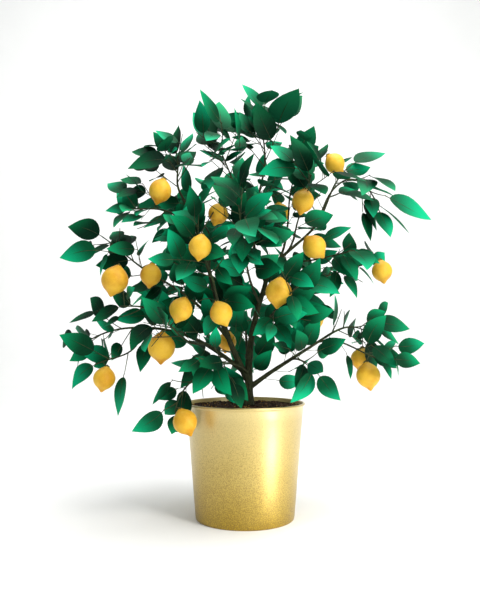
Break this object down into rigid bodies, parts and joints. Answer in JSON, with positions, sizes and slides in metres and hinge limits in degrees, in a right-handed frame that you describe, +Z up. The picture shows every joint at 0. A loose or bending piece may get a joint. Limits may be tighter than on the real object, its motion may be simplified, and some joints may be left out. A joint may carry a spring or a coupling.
{
  "type": "potted lemon tree",
  "caption": "Young fruiting lemon tree with a short forked trunk and an open, spreading crown, growing in a tapered round gold metal planter.",
  "frame": {"origin": "middle of the planter's flat underside", "axes": "+Z up along the planter's axis, +X to the right of the front view and +Y towards the back"},
  "size_m": [0.9443, 0.7409, 1.0893],
  "materials": {
    "gold": "satin gold",
    "soil": "matte, crumbly",
    "bark": "matte",
    "foliage": "satin"
  },
  "bodies": {
    "root": {"pot": "gold", "soil": "soil", "trunk": "bark", "stem_centre": "bark", "bough_high_left": "bark", "bough_low_left": "bark", "bough_low_right": "bark", "bough_left": "bark", "bough_mid_left": "bark", "bough_front_left": "bark", "bough_left_rise": "bark", "bough_low_front": "bark", "bough_low_centre": "bark", "bough_low_left_hang": "bark", "bough_droop": "bark", "bough_top": "bark", "bough_right": "bark", "bough_centre": "bark", "bough_front": "bark", "bough_top_left": "bark", "bough_high_right": "bark", "bough_front_right": "bark", "bough_right_arch": "bark", "bough_mid_right": "bark", "bough_far_right": "bark", "bough_low_right_hang": "bark", "bough_low_right_in": "bark", "bough_back_left": "bark", "bough_back_right": "bark", "bough_back_low": "bark", "bough_back_high_left": "bark", "bough_back_high": "bark", "foliage_high_left": "foliage", "foliage_low_left": "foliage", "foliage_low_right": "foliage", "foliage_left": "foliage", "foliage_mid_left": "foliage", "foliage_front_left": "foliage", "foliage_left_rise": "foliage", "foliage_low_front": "foliage", "foliage_low_centre": "foliage", "foliage_low_left_hang": "foliage", "foliage_droop": "foliage", "foliage_top": "foliage", "foliage_right": "foliage", "foliage_centre": "foliage", "foliage_front": "foliage", "foliage_top_left": "foliage", "foliage_high_right": "foliage", "foliage_front_right": "foliage", "foliage_right_arch": "foliage", "foliage_mid_right": "foliage", "foliage_far_right": "foliage", "foliage_low_right_hang": "foliage", "foliage_low_right_in": "foliage", "foliage_back_left": "foliage", "foliage_back_right": "foliage", "foliage_back_low": "foliage", "foliage_back_high_left": "foliage", "foliage_back_high": "foliage"}
  },
  "joints": []
}
